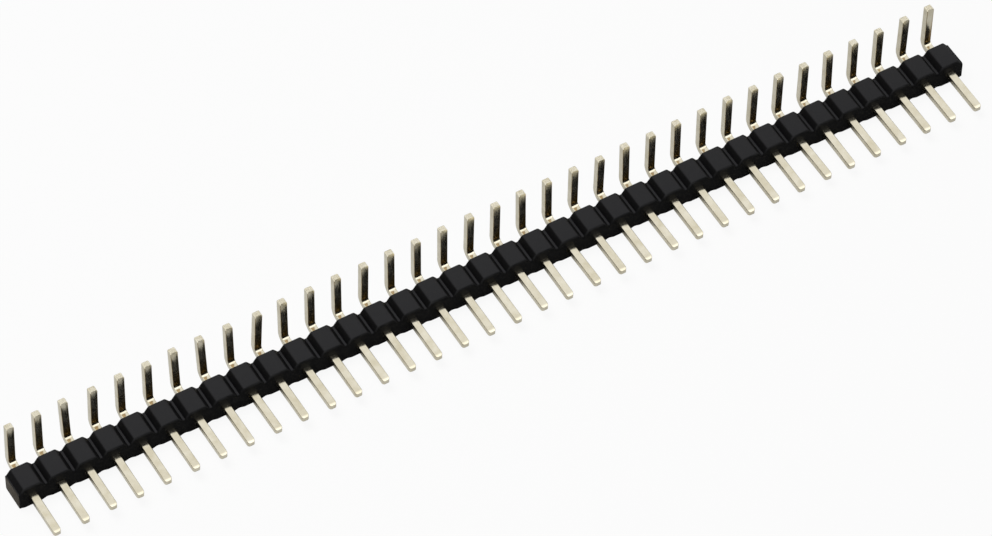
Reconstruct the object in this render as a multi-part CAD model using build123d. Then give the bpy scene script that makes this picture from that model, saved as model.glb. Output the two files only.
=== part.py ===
from build123d import *
import os

# A right-angle, single-row pin header strip, in millimetres.
#
# The strip lies along X and rests on the underside of its housing. The straight
# mating pins point along -Y, and the solder tails stand up along +Z behind the
# housing. The origin is on the underside of the housing, straight below the axis
# of the first way's pin and in the middle of the housing's depth.

# The row
ways = 36
pitch = 2.54

# The housing: one moulding, notched above and below between every two ways
housing_depth = 2.5
housing_height = 2.5
crest_width = 1.52
notch_floor_width = 0.2
upper_notch_depth = 0.55
lower_notch_depth = 0.14
crest_radius = 0.14
rim_chamfer = 0.08

# The pins: square wire, pushed straight through the housing and bent up behind it
pin_size = 0.68
pin_fit_clearance = 0.0
pin_edge_radius = 0.06
mating_length = 4.45
tail_gap = 1.1
tail_height = 4.75
bend_inner_radius = 0.3
tip_length = 0.2
tip_size = 0.5

# Places that follow from the sizes above
front_face = -housing_depth / 2
back_face = housing_depth / 2
pin_axis_height = housing_height / 2
mating_tip = front_face - mating_length
tail_axis = back_face + tail_gap + pin_size / 2
tail_tip = pin_axis_height + tail_height
bend_radius = bend_inner_radius + pin_size / 2

# Two places closer than this count as one
same_place = 0.001


def way_place(way):
    """The X of one way's pin axis, counted from 0 at the -X end."""
    return way * pitch


def crest(floor, top):
    """One raised flat of the cell's outline, from notch floor to notch floor."""
    half_crest = crest_width / 2
    half_floor = (pitch - notch_floor_width) / 2
    return [(-half_floor, floor), (-half_crest, top), (half_crest, top), (half_floor, floor)]


def cell_outline():
    """The notched outline of one way, which runs the whole depth of the housing."""
    side = pitch / 2
    upper_floor = housing_height - upper_notch_depth
    lower_floor = lower_notch_depth
    upper = [(-side, upper_floor), *crest(upper_floor, housing_height), (side, upper_floor)]
    lower = [(-side, lower_floor), *crest(lower_floor, 0), (side, lower_floor)]
    outline = make_face(Polyline(*upper, *reversed(lower), close=True))
    crest_corners = [
        corner
        for corner in outline.vertices()
        if corner.Y < lower_floor / 2 or corner.Y > (upper_floor + housing_height) / 2
    ]
    return fillet(crest_corners, crest_radius)


def is_rim(edge):
    """True for an edge round the front or back face, but not where two cells meet."""
    middle = edge.center()
    on_end_face = abs(abs(middle.Y) - housing_depth / 2) < same_place
    between_cells = abs(abs(middle.X) - pitch / 2) < same_place
    return on_end_face and not between_cells


def housing_cell():
    """One way of the housing at X = 0: its block, softened rims and pin hole."""
    block = extrude(Plane.XZ.offset(-back_face) * cell_outline(), housing_depth)
    rims = [edge for edge in block.edges() if is_rim(edge)]
    block = chamfer(rims, rim_chamfer)
    hole_size = pin_size + pin_fit_clearance
    return block - Pos(0, 0, pin_axis_height) * Box(hole_size, housing_depth, hole_size)


def make_housing():
    """The one-piece insulator: every way's cell, moulded together."""
    cell = housing_cell()
    cells = [Pos(way_place(way), 0, 0) * cell for way in range(ways)]
    return cells[0].fuse(*cells[1:]).clean()


def wire_section(size):
    """The pin's square section, with its drawn corners slightly round."""
    return RectangleRounded(size, size, pin_edge_radius)


def straight_run(start, length, direction):
    """A straight length of the square wire that ends in a four-sided taper."""
    along = Plane(origin=start, x_dir=(1, 0, 0), z_dir=direction)
    run = extrude(along * wire_section(pin_size), length - tip_length)
    shoulder = along.offset(length - tip_length) * wire_section(pin_size)
    point = along.offset(length) * wire_section(tip_size)
    return run + loft([shoulder, point])


def make_pin(x):
    """One whole pin: mating length, run through the housing, bend and tail."""
    bend_start = tail_axis - bend_radius
    bend_end = pin_axis_height + bend_radius
    mating = straight_run((x, bend_start, pin_axis_height), bend_start - mating_tip, (0, -1, 0))
    tail = straight_run((x, tail_axis, bend_end), tail_tip - bend_end, (0, 0, 1))
    bend_axis = Axis((x, bend_start, bend_end), (1, 0, 0))
    section = Plane(origin=(x, bend_start, pin_axis_height), x_dir=(1, 0, 0), z_dir=(0, 1, 0))
    bend = revolve(section * wire_section(pin_size), bend_axis, 90)
    return mating + bend + tail


def main():
    os.makedirs("parts", exist_ok=True)
    export_step(make_housing(), "parts/housing.step")
    for way in range(ways):
        export_step(make_pin(way_place(way)), f"parts/pin_{way + 1:02d}.step")


main()
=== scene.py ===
import math
import random

import bmesh
import bpy
from mathutils import Matrix, Vector


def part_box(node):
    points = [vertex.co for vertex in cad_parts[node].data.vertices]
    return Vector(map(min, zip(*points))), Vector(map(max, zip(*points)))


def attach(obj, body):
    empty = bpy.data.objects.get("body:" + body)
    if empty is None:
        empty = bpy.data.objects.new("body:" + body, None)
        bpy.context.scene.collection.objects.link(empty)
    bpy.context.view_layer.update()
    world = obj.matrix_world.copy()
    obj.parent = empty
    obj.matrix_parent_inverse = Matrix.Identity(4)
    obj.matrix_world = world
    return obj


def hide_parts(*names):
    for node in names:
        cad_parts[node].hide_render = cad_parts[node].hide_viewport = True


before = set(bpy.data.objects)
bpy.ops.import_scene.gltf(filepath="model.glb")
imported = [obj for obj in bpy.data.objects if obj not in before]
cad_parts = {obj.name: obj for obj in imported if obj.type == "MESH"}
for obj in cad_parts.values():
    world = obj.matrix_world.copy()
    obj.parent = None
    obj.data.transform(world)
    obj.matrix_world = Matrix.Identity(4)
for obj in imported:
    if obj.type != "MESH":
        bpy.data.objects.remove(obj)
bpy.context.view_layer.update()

# New pieces are modelled at one unit to the millimetre, then brought down to metres.
millimetre = 0.001
nearly = 1e-3         # places this close count as one
mergeWithin = 1e-4    # vertices this close are merged
cutWithin = 1e-5      # vertices this close to a cut lie on it


def nodeBox(node):
    low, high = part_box(node)
    return Vector(low) / millimetre, Vector(high) / millimetre


# Sizes that the frame already holds
pinNodes = sorted(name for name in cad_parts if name.startswith("pin_"))
ways = len(pinNodes)
housingLow, housingHigh = nodeBox("housing")
firstLow, firstHigh = nodeBox(pinNodes[0])
secondLow = nodeBox(pinNodes[1])[0]
pitch = secondLow.x - firstLow.x
pinSize = firstHigh.x - firstLow.x
depth = housingHigh.y - housingLow.y
height = housingHigh.z - housingLow.z
axisHeight = height / 2
print("frame read:", ways, "ways at", round(pitch, 3), "mm")


def deselectAll():
    if bpy.context.object and bpy.context.object.mode != "OBJECT":
        bpy.ops.object.mode_set(mode="OBJECT")
    bpy.ops.object.select_all(action="DESELECT")


def editMode(kind):
    bpy.ops.object.mode_set(mode="EDIT")
    bpy.ops.mesh.select_mode(type=kind)


def objectMode():
    bpy.ops.object.mode_set(mode="OBJECT")


def middleOf(part):
    if hasattr(part, "co"):
        return part.co
    return sum((v.co for v in part.verts), Vector()) / len(part.verts)


def pick(kind, test):
    # The kind is verts, edges or faces, and the test is given the middle of each
    mesh = bpy.context.edit_object.data
    bm = bmesh.from_edit_mesh(mesh)
    for face in bm.faces:
        face.select_set(False)
    for edge in bm.edges:
        edge.select_set(False)
    for vert in bm.verts:
        vert.select_set(False)
    for part in getattr(bm, kind):
        if test(middleOf(part)):
            part.select_set(True)
    bmesh.update_edit_mesh(mesh)


def pickRidges(leastAngle):
    # The outward corners; the notch floors' inward ones stay crisp
    mesh = bpy.context.edit_object.data
    bm = bmesh.from_edit_mesh(mesh)
    bpy.ops.mesh.select_all(action="DESELECT")
    for edge in bm.edges:
        if edge.is_manifold and edge.calc_face_angle_signed(0) > leastAngle:
            edge.select_set(True)
    bmesh.update_edit_mesh(mesh)


def cutAt(place, normal):
    bpy.ops.mesh.select_all(action="SELECT")
    bpy.ops.mesh.bisect(plane_co=place, plane_no=normal, threshold=cutWithin)


def applyModifier(piece, kind, **values):
    modifier = piece.modifiers.new(kind.lower(), kind)
    for name, value in values.items():
        setattr(modifier, name, value)
    bpy.context.view_layer.objects.active = piece
    bpy.ops.object.modifier_apply(modifier=modifier.name)


def freshNormals():
    bpy.ops.mesh.select_all(action="SELECT")
    bpy.ops.mesh.remove_doubles(threshold=mergeWithin)
    bpy.ops.mesh.normals_make_consistent(inside=False)


def toMetres(piece):
    deselectAll()
    piece.select_set(True)
    bpy.context.view_layer.objects.active = piece
    piece.scale = (millimetre,) * 3
    bpy.ops.object.transform_apply(location=True, rotation=True, scale=True)


def addNode(tree, kind, place, **values):
    node = tree.nodes.new(kind)
    node.location = place
    for name, value in values.items():
        setattr(node, name, value)
    return node


# The part of the noise's range that is spread from Low to High
noiseLow, noiseHigh = 0.3, 0.7


def fineGrainGroup():
    # Small uneven grain: a value between Low and High, and the plain noise as a height
    group = bpy.data.node_groups.new("fineGrain", "ShaderNodeTree")
    group.interface.new_socket("Vector", in_out="INPUT", socket_type="NodeSocketVector")
    for name, value in (("Scale", 1000.0), ("Detail", 3.0), ("Low", 0.0), ("High", 1.0)):
        socket = group.interface.new_socket(name, in_out="INPUT", socket_type="NodeSocketFloat")
        socket.default_value = value
    group.interface.new_socket("Value", in_out="OUTPUT", socket_type="NodeSocketFloat")
    group.interface.new_socket("Height", in_out="OUTPUT", socket_type="NodeSocketFloat")
    inlet = addNode(group, "NodeGroupInput", (-600, 0))
    outlet = addNode(group, "NodeGroupOutput", (400, 0))
    noise = addNode(group, "ShaderNodeTexNoise", (-300, 0))
    spread = addNode(group, "ShaderNodeMapRange", (0, 0))
    spread.inputs["From Min"].default_value = noiseLow
    spread.inputs["From Max"].default_value = noiseHigh
    link = group.links.new
    link(inlet.outputs["Vector"], noise.inputs["Vector"])
    link(inlet.outputs["Scale"], noise.inputs["Scale"])
    link(inlet.outputs["Detail"], noise.inputs["Detail"])
    link(noise.outputs["Fac"], spread.inputs["Value"])
    link(inlet.outputs["Low"], spread.inputs["To Min"])
    link(inlet.outputs["High"], spread.inputs["To Max"])
    link(spread.outputs["Result"], outlet.inputs["Value"])
    link(noise.outputs["Fac"], outlet.inputs["Height"])
    return group


def grainNode(tree, group, vector, place, **values):
    node = addNode(tree, "ShaderNodeGroup", place, node_tree=group)
    tree.links.new(vector, node.inputs["Vector"])
    for name, value in values.items():
        node.inputs[name].default_value = value
    return node


def newMaterial(name):
    material = bpy.data.materials.new(name)
    material.use_nodes = True
    tree = material.node_tree
    return material, tree, tree.nodes["Principled BSDF"]


def mixColour(tree, factor, first, second, place):
    # The Mix node's colour sockets are inputs 6 and 7 and output 2
    mix = addNode(tree, "ShaderNodeMix", place, data_type="RGBA")
    tree.links.new(factor, mix.inputs["Factor"])
    for socket, value in ((mix.inputs[6], first), (mix.inputs[7], second)):
        if hasattr(value, "node"):
            tree.links.new(value, socket)
        else:
            socket.default_value = (*value, 1)
    return mix.outputs[2]


def risingMask(tree, value, start, full, place):
    # 0 at the start, easing to 1 where it is full
    mask = addNode(tree, "ShaderNodeMapRange", place, interpolation_type="SMOOTHSTEP")
    mask.inputs["From Min"].default_value = start
    mask.inputs["From Max"].default_value = full
    tree.links.new(value, mask.inputs["Value"])
    return mask.outputs["Result"]


grain = fineGrainGroup()

# The housing is one black moulding: millimetres, degrees and looks
housing = {
    "crestWidth": 1.52,
    "notchFloor": 0.2,
    "notchDepth": 0.55,
    "underNotchDepth": 0.14,
    "edgeRound": 0.19,
    "edgeSegments": 4,
    "ridgeAngle": 25,             # an outward corner sharper than this is rounded
    "cutEdge": 0.035,             # the rims of the two end faces
    "cutSegments": 2,
    "holeMiddle": 0.1,            # only the pin hole's faces have their middle this near the axis
    "smoothAngle": 35,
    "black": (0.002, 0.002, 0.0022),
    "paleGrain": (0.0045, 0.0045, 0.0048),
    # painted sheen: faces that look up are coloured lighter
    "paintedTopSheen": (0.0245, 0.0245, 0.026),
    "topSheenFrom": 0.72,             # how squarely a face looks up before the painted sheen starts
    "topSheenFull": 0.97,
    # painted light: the two end faces are coloured a lighter brown
    "paintedEndLight": (0.07, 0.06, 0.045),
    "endLightFrom": 0.93,          # how squarely a face looks sideways to get the painted end light
    "endLightFull": 0.995,
    # painted sheen: the rounded front and back rims are coloured lighter
    "paintedRimSheen": (0.02, 0.02, 0.021),
    "rimSheenShare": 0.9,             # the share of a rounded rim that gets the painted sheen
    "roughness": (0.46, 0.6),
    "specular": 0.05,
    "flowGrain": {"Scale": 900, "Detail": 4},
    "fineGrain": {"Scale": 14000, "Detail": 3},
    "glossGrain": {"Scale": 2600, "Detail": 5},
    "bumpStrength": 0.35,
    "bumpDistance": 0.00002,      # metres
}


def blackPlastic():
    material, tree, shader = newMaterial("blackMouldedPlastic")
    coordinates = addNode(tree, "ShaderNodeTexCoord", (-1200, 0))
    place = coordinates.outputs["Object"]
    flow = grainNode(tree, grain, place, (-900, 300), **housing["flowGrain"])
    fine = grainNode(tree, grain, place, (-900, 0), **housing["fineGrain"])
    low, high = housing["roughness"]
    gloss = grainNode(tree, grain, place, (-900, -300), Low=low, High=high, **housing["glossGrain"])
    # Painted sheen on the rounded rims, broken up by the flow grain
    rimSheen = addNode(tree, "ShaderNodeAttribute", (-900, 600), attribute_name="rimSheen")
    rimSheenAmount = addNode(tree, "ShaderNodeMath", (-600, 500), operation="MULTIPLY")
    tree.links.new(rimSheen.outputs["Fac"], rimSheenAmount.inputs[0])
    tree.links.new(flow.outputs["Value"], rimSheenAmount.inputs[1])
    black, paleGrain = housing["black"], housing["paleGrain"]
    plain = mixColour(tree, fine.outputs["Value"], black, paleGrain, (-600, 200))
    # Painted sheen: faces that look up are coloured lighter, and painted light: the two end faces
    # are coloured a lighter brown
    facing = addNode(tree, "ShaderNodeNewGeometry", (-1200, -500))
    upward = addNode(tree, "ShaderNodeSeparateXYZ", (-1000, -500))
    tree.links.new(facing.outputs["Normal"], upward.inputs["Vector"])
    topSheenFrom, topSheenFull = housing["topSheenFrom"], housing["topSheenFull"]
    topSheenMask = risingMask(tree, upward.outputs["Z"], topSheenFrom, topSheenFull, (-800, -500))
    topSheened = mixColour(tree, topSheenMask, plain, housing["paintedTopSheen"], (-450, 200))
    # Painted light: the two end faces, which face sideways, are coloured a lighter brown
    sideways = addNode(tree, "ShaderNodeMath", (-800, -750), operation="ABSOLUTE")
    endLightMask = addNode(tree, "ShaderNodeMapRange", (-600, -750))
    endLightMask.inputs["From Min"].default_value = housing["endLightFrom"]
    endLightMask.inputs["From Max"].default_value = housing["endLightFull"]
    tree.links.new(upward.outputs["X"], sideways.inputs[0])
    tree.links.new(sideways.outputs["Value"], endLightMask.inputs["Value"])
    endLit = mixColour(tree, endLightMask.outputs["Result"], topSheened, housing["paintedEndLight"], (-380, 200))
    colour = mixColour(tree, rimSheenAmount.outputs["Value"], endLit, housing["paintedRimSheen"], (-300, 200))
    tree.links.new(colour, shader.inputs["Base Color"])
    tree.links.new(gloss.outputs["Value"], shader.inputs["Roughness"])
    bump = addNode(tree, "ShaderNodeBump", (-300, -200))
    bump.inputs["Strength"].default_value = housing["bumpStrength"]
    bump.inputs["Distance"].default_value = housing["bumpDistance"]
    tree.links.new(fine.outputs["Height"], bump.inputs["Height"])
    tree.links.new(bump.outputs["Normal"], shader.inputs["Normal"])
    shader.inputs["Specular IOR Level"].default_value = housing["specular"]
    return material


def atPinHole(p):
    nearAxis = abs(p.x) < housing["holeMiddle"] and abs(p.z - axisHeight) < housing["holeMiddle"]
    return nearAxis and abs(p.y) > depth / 2 - nearly


def notchedBlock():
    # One way's block: a cube cut across, then its sides pushed in to make the notches
    halfCrest = housing["crestWidth"] / 2
    halfFloor = (pitch - housing["notchFloor"]) / 2
    halfPin = pinSize / 2
    bpy.ops.mesh.primitive_cube_add(size=1, location=(0, 0, axisHeight))
    block = bpy.context.object
    block.scale = (pitch, depth, height)
    bpy.ops.object.transform_apply(location=True, rotation=True, scale=True)
    editMode("VERT")
    for x in (halfCrest, halfFloor, halfPin):
        cutAt((x, 0, 0), (1, 0, 0))
        cutAt((-x, 0, 0), (1, 0, 0))
    for z in (axisHeight - halfPin, axisHeight + halfPin):
        cutAt((0, 0, z), (0, 0, 1))
    pick("verts", lambda p: abs(p.x) > halfFloor - nearly and p.z > height - nearly)
    bpy.ops.transform.translate(value=(0, 0, -housing["notchDepth"]))
    pick("verts", lambda p: abs(p.x) > halfFloor - nearly and p.z < nearly)
    bpy.ops.transform.translate(value=(0, 0, housing["underNotchDepth"]))
    bpy.ops.mesh.select_mode(type="FACE")
    pick("faces", lambda p: abs(p.x) > pitch / 2 - nearly)
    bpy.ops.mesh.delete(type="ONLY_FACE")
    bpy.ops.mesh.select_mode(type="EDGE")
    pickRidges(math.radians(housing["ridgeAngle"]))
    bpy.ops.mesh.bevel(
        offset=housing["edgeRound"],
        segments=housing["edgeSegments"],
        affect="EDGES",
        clamp_overlap=True,
    )
    bpy.ops.mesh.select_mode(type="FACE")
    pick("faces", atPinHole)
    bpy.ops.mesh.bridge_edge_loops()
    objectMode()
    return block


def onSheenRim(p):
    rim = housing["edgeRound"]
    shoulder = depth / 2 - rim * housing["rimSheenShare"]
    return (p.z > height - rim or p.z < rim) and shoulder < abs(p.y) < depth / 2 - nearly


# Marks the rounded rims that get the painted sheen
def markSheenRim(piece):
    layer = piece.data.attributes.new("rimSheen", "FLOAT", "POINT")
    for vert in piece.data.vertices:
        layer.data[vert.index].value = 1.0 if onSheenRim(vert.co) else 0.0


def modelHousing():
    deselectAll()
    piece = notchedBlock()
    piece.name = "housingMoulding"
    piece.data.name = "housingMoulding"
    applyModifier(
        piece,
        "ARRAY",
        count=ways,
        use_relative_offset=False,
        use_constant_offset=True,
        constant_offset_displace=(pitch, 0, 0),
        use_merge_vertices=True,
        merge_threshold=nearly,
    )
    editMode("EDGE")
    bpy.ops.mesh.select_all(action="SELECT")
    bpy.ops.mesh.fill_holes(sides=0)
    freshNormals()
    start = -pitch / 2
    finish = (ways - 0.5) * pitch
    pick("edges", lambda p: p.x < start + nearly or p.x > finish - nearly)
    bpy.ops.mesh.bevel(
        offset=housing["cutEdge"],
        segments=housing["cutSegments"],
        affect="EDGES",
        clamp_overlap=True,
    )
    objectMode()
    markSheenRim(piece)
    bpy.ops.object.shade_smooth_by_angle(angle=math.radians(housing["smoothAngle"]))
    piece.data.materials.append(blackPlastic())
    toMetres(piece)
    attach(piece, "root")
    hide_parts("housing")


# The pins are square plated wire: millimetres, degrees and looks
pin = {
    "bendInner": 0.3,
    "bendSteps": 9,
    "cornerRound": 0.1,
    "cornerSegments": 4,
    "smoothAngle": 32,
    "matingTipLength": 0.32,
    "tailTipLength": 0.12,
    # Each loop of a point: its share of the point's length, and of the wire's width
    "matingStages": (
        (0.31, 0.97), (0.59, 0.89), (0.81, 0.76), (0.95, 0.6), (1.0, 0.42), (1.0, 0.34),
    ),
    "tailStages": ((0.35, 0.985), (0.65, 0.94), (0.87, 0.86), (1.0, 0.76), (1.0, 0.7)),
    "plating": (0.79, 0.745, 0.61),
    "platingDull": (0.66, 0.605, 0.455),
    # painted reflection: the dark brown that the housing casts on the tail's front and the bend's
    # inner face
    "paintedDarkReflection": (0.33, 0.2, 0.05),
    "darkReflectionInner": (0.26, 0.32),      # from the wire's middle towards the inside of the bend
    "darkReflectionRise": (0.6, 1.0),         # past the start of the bend, along the wire
    "darkReflectionStop": (0.05, 0.15),       # short of the tail's end
    "metallic": (1.0, 0.8),            # bright, and where the dark reflection is painted
    "roughness": (0.12, 0.2),
    "alongStretch": 0.04,              # the drawn marks' scale along the wire: they run long
    "drawnLines": {"Scale": 16, "Detail": 3},
    "cloud": {"Scale": 1.1, "Detail": 4},
    "glossGrain": {"Scale": 7, "Detail": 4},
    "grainApart": 17.0,                # from pin to pin, so that no two show the same marks
    "bumpStrength": 0.04,
    "bumpDistance": 0.00001,           # metres
    "leanFront": 0.011,                # the spread of the leans, per millimetre of reach
    "leanTail": 0.011,
    "leanSeed": 36,
}
matingTip = firstLow.y
tailBack = firstHigh.y
tailTip = firstHigh.z
tailAxis = tailBack - pinSize / 2
bendRadius = pin["bendInner"] + pinSize / 2
bendStart = tailAxis - bendRadius
bendEnd = axisHeight + bendRadius


def platedMetal():
    material, tree, shader = newMaterial("tinPlatedPin")
    along = addNode(tree, "ShaderNodeAttribute", (-1400, 0), attribute_name="wire")
    stretch = addNode(tree, "ShaderNodeMapping", (-1200, 0))
    stretch.inputs["Scale"].default_value = (1, 1, pin["alongStretch"])
    wire = along.outputs["Vector"]
    drawn = stretch.outputs["Vector"]
    tree.links.new(wire, stretch.inputs["Vector"])
    lines = grainNode(tree, grain, drawn, (-900, 0), **pin["drawnLines"])
    cloud = grainNode(tree, grain, wire, (-900, 300), **pin["cloud"])
    low, high = pin["roughness"]
    gloss = grainNode(tree, grain, drawn, (-900, -300), Low=low, High=high, **pin["glossGrain"])
    bright, dull = pin["plating"], pin["platingDull"]
    colour = mixColour(tree, cloud.outputs["Value"], bright, dull, (-500, 200))
    parts = addNode(tree, "ShaderNodeSeparateXYZ", (-1200, 600))
    tree.links.new(wire, parts.inputs["Vector"])
    # Painted dark reflection of the black housing: the inner face of the bend and up the tail is
    # coloured dark brown and made less metallic
    inner = risingMask(tree, parts.outputs["Y"], *pin["darkReflectionInner"], (-900, 750))
    rise = [bendStart + distance for distance in pin["darkReflectionRise"]]
    raised = risingMask(tree, parts.outputs["Z"], *rise, (-900, 550))
    wireEnd = bendStart + math.pi / 2 * bendRadius + tailTip - bendEnd
    stop = [wireEnd - distance for distance in pin["darkReflectionStop"]]
    short = risingMask(tree, parts.outputs["Z"], *stop, (-900, 350))
    climbing = addNode(tree, "ShaderNodeMath", (-700, 650), operation="MULTIPLY")
    tree.links.new(inner, climbing.inputs[0])
    tree.links.new(raised, climbing.inputs[1])
    darkReflectionMask = addNode(tree, "ShaderNodeMath", (-500, 650), operation="MULTIPLY")
    tree.links.new(climbing.outputs["Value"], darkReflectionMask.inputs[0])
    tree.links.new(short, darkReflectionMask.inputs[1])
    colour = mixColour(tree, darkReflectionMask.outputs["Value"], colour, pin["paintedDarkReflection"], (-300, 300))
    metal = addNode(tree, "ShaderNodeMapRange", (-300, 500))
    metal.inputs["To Min"].default_value, metal.inputs["To Max"].default_value = pin["metallic"]
    tree.links.new(darkReflectionMask.outputs["Value"], metal.inputs["Value"])
    tree.links.new(metal.outputs["Result"], shader.inputs["Metallic"])
    tree.links.new(colour, shader.inputs["Base Color"])
    tree.links.new(gloss.outputs["Value"], shader.inputs["Roughness"])
    bump = addNode(tree, "ShaderNodeBump", (-300, -200))
    bump.inputs["Strength"].default_value = pin["bumpStrength"]
    bump.inputs["Distance"].default_value = pin["bumpDistance"]
    tree.links.new(lines.outputs["Height"], bump.inputs["Height"])
    tree.links.new(bump.outputs["Normal"], shader.inputs["Normal"])
    return material


def extrudeLoop(step):
    bpy.ops.mesh.extrude_region_move(TRANSFORM_OT_translate={"value": step})


def drawPoint(place, direction, length, stages):
    # Loop by loop, from the shoulder to the blunt end and a little in across it
    travelled, size = 0.0, 1.0
    for share, scale in stages:
        reach = share * length
        extrudeLoop(direction * (reach - travelled))
        bpy.ops.transform.resize(
            value=(scale / size,) * 3,
            center_override=place + direction * reach,
        )
        travelled, size = reach, scale


def wirePlace(p):
    # Across, through and along the wire, following the bend
    if p.y < bendStart:
        return (p.x, p.z - axisHeight, p.y)
    quarter = math.pi / 2 * bendRadius
    if p.z > bendEnd:
        return (p.x, tailAxis - p.y, bendStart + quarter + p.z - bendEnd)
    fromCentre = Vector((p.y - bendStart, p.z - bendEnd))
    turn = math.atan2(fromCentre.x, -fromCentre.y)
    return (p.x, bendRadius - fromCentre.length, bendStart + turn * bendRadius)


def modelPin():
    deselectAll()
    bpy.ops.mesh.primitive_plane_add(
        size=pinSize,
        rotation=(math.radians(90), 0, 0),
        location=(0, bendStart, axisHeight),
    )
    piece = bpy.context.object
    bpy.ops.object.transform_apply(location=True, rotation=True, scale=True)
    editMode("VERT")
    bpy.ops.mesh.select_all(action="SELECT")
    bpy.ops.mesh.bevel(
        offset=pin["cornerRound"],
        segments=pin["cornerSegments"],
        affect="VERTICES",
    )
    bpy.ops.mesh.select_all(action="SELECT")
    bpy.ops.mesh.delete(type="ONLY_FACE")
    bpy.ops.mesh.select_mode(type="EDGE")
    bpy.ops.mesh.select_all(action="SELECT")
    matingRun = bendStart - matingTip - pin["matingTipLength"]
    forward = Vector((0, -1, 0))
    upward = Vector((0, 0, 1))
    extrudeLoop(forward * matingRun)
    matingShoulder = Vector((0, bendStart, axisHeight)) + forward * matingRun
    drawPoint(matingShoulder, forward, pin["matingTipLength"], pin["matingStages"])
    pick("edges", lambda p: abs(p.y - bendStart) < nearly)
    bpy.ops.mesh.spin(
        steps=pin["bendSteps"],
        angle=math.radians(90),
        center=(0, bendStart, bendEnd),
        axis=(-1, 0, 0),
    )
    pick("edges", lambda p: p.y > bendStart + bendRadius / 2 and abs(p.z - bendEnd) < nearly)
    tailRun = tailTip - bendEnd - pin["tailTipLength"]
    extrudeLoop(upward * tailRun)
    tailShoulder = Vector((0, tailAxis, bendEnd)) + upward * tailRun
    drawPoint(tailShoulder, upward, pin["tailTipLength"], pin["tailStages"])
    bpy.ops.mesh.select_all(action="SELECT")
    bpy.ops.mesh.fill_holes(sides=0)
    freshNormals()
    objectMode()
    layer = piece.data.attributes.new("wire", "FLOAT_VECTOR", "POINT")
    for vert in piece.data.vertices:
        layer.data[vert.index].vector = wirePlace(vert.co)
    bpy.ops.object.shade_smooth_by_angle(angle=math.radians(pin["smoothAngle"]))
    piece.data.materials.append(platedMetal())
    return piece


def leanPin(piece, chance):
    # No two drawn, cropped and bent pins stand quite alike
    side, lift = chance.gauss(0, pin["leanFront"]), chance.gauss(0, pin["leanFront"])
    tailSide, tailBackward = chance.gauss(0, pin["leanTail"]), chance.gauss(0, pin["leanTail"])
    for vert in piece.data.vertices:
        p = vert.co
        out = max(0.0, housingLow.y - p.y)
        up = max(0.0, p.z - bendEnd) if p.y > bendStart else 0.0
        vert.co = (p.x + side * out + tailSide * up, p.y + tailBackward * up, p.z + lift * out)


def placePins(master):
    chance = random.Random(pin["leanSeed"])
    for way, node in enumerate(pinNodes):
        piece = master.copy()
        piece.data = master.data.copy()
        piece.name = f"platedPin{way + 1:02d}"
        piece.data.name = piece.name
        bpy.context.scene.collection.objects.link(piece)
        leanPin(piece, chance)
        for item in piece.data.attributes["wire"].data:
            item.vector = Vector(item.vector) + Vector((way * pin["grainApart"], 0, 0))
        piece.data.transform(Matrix.Translation((way * pitch, 0, 0)))
        toMetres(piece)
        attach(piece, "root")
        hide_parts(node)
    bpy.data.objects.remove(master)


modelHousing()
print("housing modelled")
placePins(modelPin())
print("pins modelled")


# The floor, room and lamp, in metres and watts
studio = {
    "middle": (0.045, 0, 0),      # close to the middle of the row
    "floorSize": 1.6,
    "floorColour": (0.66, 0.66, 0.66),
    "floorRoughness": 0.9,
    "floorGlow": 0.92,
    "worldFill": 0.25,
    "frontGlow": 0.6,
    "frontSide": (0.4, -0.5),     # where the front glow starts and is full, from back to front
    "keyPower": 1.6,
    "keySize": 0.25,
    "keyPlace": (-0.12, 0.10, 0.42),    # from the middle of the row
}


def layFloor():
    deselectAll()
    bpy.ops.mesh.primitive_plane_add(size=studio["floorSize"], location=studio["middle"])
    floor = bpy.context.object
    floor.name = "paleFloor"
    material, tree, shader = newMaterial("paleFloor")
    shader.inputs["Base Color"].default_value = (*studio["floorColour"], 1)
    shader.inputs["Roughness"].default_value = studio["floorRoughness"]
    shader.inputs["Specular IOR Level"].default_value = 0.0
    glow = addNode(tree, "ShaderNodeEmission", (0, -300))
    path = addNode(tree, "ShaderNodeLightPath", (-600, 300))
    share = addNode(tree, "ShaderNodeMath", (-300, 300), operation="MULTIPLY")
    share.inputs[1].default_value = studio["floorGlow"]
    mix = addNode(tree, "ShaderNodeMixShader", (300, 0))
    output = tree.nodes["Material Output"]
    tree.links.new(path.outputs["Is Camera Ray"], share.inputs[0])
    tree.links.new(share.outputs["Value"], mix.inputs["Fac"])
    tree.links.new(shader.outputs["BSDF"], mix.inputs[1])
    tree.links.new(glow.outputs["Emission"], mix.inputs[2])
    tree.links.new(mix.outputs["Shader"], output.inputs["Surface"])
    floor.data.materials.append(material)


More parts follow.
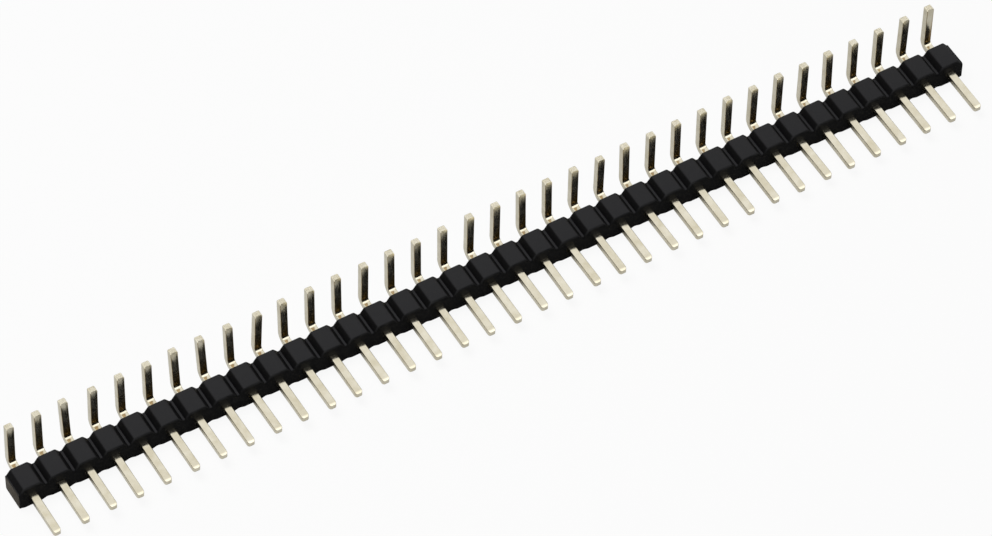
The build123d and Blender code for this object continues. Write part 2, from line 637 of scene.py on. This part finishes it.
def paleWorld():
    world = bpy.data.worlds.new("studio")
    bpy.context.scene.world = world
    world.use_nodes = True
    tree = world.node_tree
    sky = tree.nodes["Background"]
    sky.inputs["Color"].default_value = (1, 1, 1, 1)
    path = addNode(tree, "ShaderNodeLightPath", (-900, 0))
    seen = addNode(tree, "ShaderNodeMath", (-600, 0), operation="MAXIMUM")
    clear = addNode(tree, "ShaderNodeMath", (-400, 0), operation="MAXIMUM")
    strength = addNode(tree, "ShaderNodeMapRange", (-200, 0))
    strength.inputs["To Min"].default_value = studio["worldFill"]
    strength.inputs["To Max"].default_value = 1.0
    tree.links.new(path.outputs["Is Camera Ray"], seen.inputs[0])
    tree.links.new(path.outputs["Is Glossy Ray"], seen.inputs[1])
    tree.links.new(seen.outputs["Value"], clear.inputs[0])
    tree.links.new(path.outputs["Is Transmission Ray"], clear.inputs[1])
    tree.links.new(clear.outputs["Value"], strength.inputs["Value"])
    # Reflections are brighter from the viewer's side of the room
    direction = addNode(tree, "ShaderNodeTexCoord", (-900, -400))
    sides = addNode(tree, "ShaderNodeSeparateXYZ", (-700, -400))
    tree.links.new(direction.outputs["Generated"], sides.inputs["Vector"])
    front = risingMask(tree, sides.outputs["Y"], *studio["frontSide"], (-500, -400))
    glow = addNode(tree, "ShaderNodeMath", (-300, -400), operation="MULTIPLY")
    glow.inputs[1].default_value = studio["frontGlow"]
    tree.links.new(front, glow.inputs[0])
    reflected = addNode(tree, "ShaderNodeMath", (-100, -300), operation="MULTIPLY_ADD")
    tree.links.new(glow.outputs["Value"], reflected.inputs[0])
    tree.links.new(path.outputs["Is Glossy Ray"], reflected.inputs[1])
    tree.links.new(strength.outputs["Result"], reflected.inputs[2])
    tree.links.new(reflected.outputs["Value"], sky.inputs["Strength"])


def hangKeyLight():
    deselectAll()
    middle = Vector(studio["middle"])
    bpy.ops.object.light_add(type="AREA", location=middle + Vector(studio["keyPlace"]))
    lamp = bpy.context.object
    lamp.name = "keyLight"
    lamp.data.energy = studio["keyPower"]
    lamp.data.size = studio["keySize"]
    lamp.visible_glossy = False    # the pale room is what the metal shows
    aim = middle - lamp.location
    lamp.rotation_euler = aim.to_track_quat("-Z", "Y").to_euler()


# The camera: degrees, metres and, for the lens and the aim, millimetres
view = {
    "turn": 31.11,
    "elevation": 51.84,
    "roll": 0.75,
    "distance": 0.4759,
    "lens": 206.4,
    "aimRight": -0.15,
    "aimUp": 0.02,
    "nearest": 0.01,
}


def placeCamera():
    turn, elevation = math.radians(view["turn"]), math.radians(view["elevation"])
    right = Vector((math.cos(turn), -math.sin(turn), 0))
    back = Vector((
        -math.sin(turn) * math.cos(elevation),
        -math.cos(turn) * math.cos(elevation),
        math.sin(elevation),
    ))
    up = back.cross(right)
    centre = (housingLow + housingHigh) / 2
    aim = (centre + right * view["aimRight"] + up * view["aimUp"]) * millimetre
    bpy.ops.object.camera_add(location=aim + back * view["distance"])
    camera = bpy.context.object
    camera.name = "productCamera"
    roll = Matrix.Rotation(math.radians(view["roll"]), 4, "Z")
    turned = Matrix((right, up, back)).transposed().to_4x4() @ roll
    camera.rotation_euler = turned.to_euler()
    camera.data.lens = view["lens"]
    camera.data.clip_start = view["nearest"]
    bpy.context.scene.camera = camera


layFloor()
paleWorld()
hangKeyLight()
placeCamera()
bpy.context.scene.view_settings.view_transform = "Standard"
print("studio set")
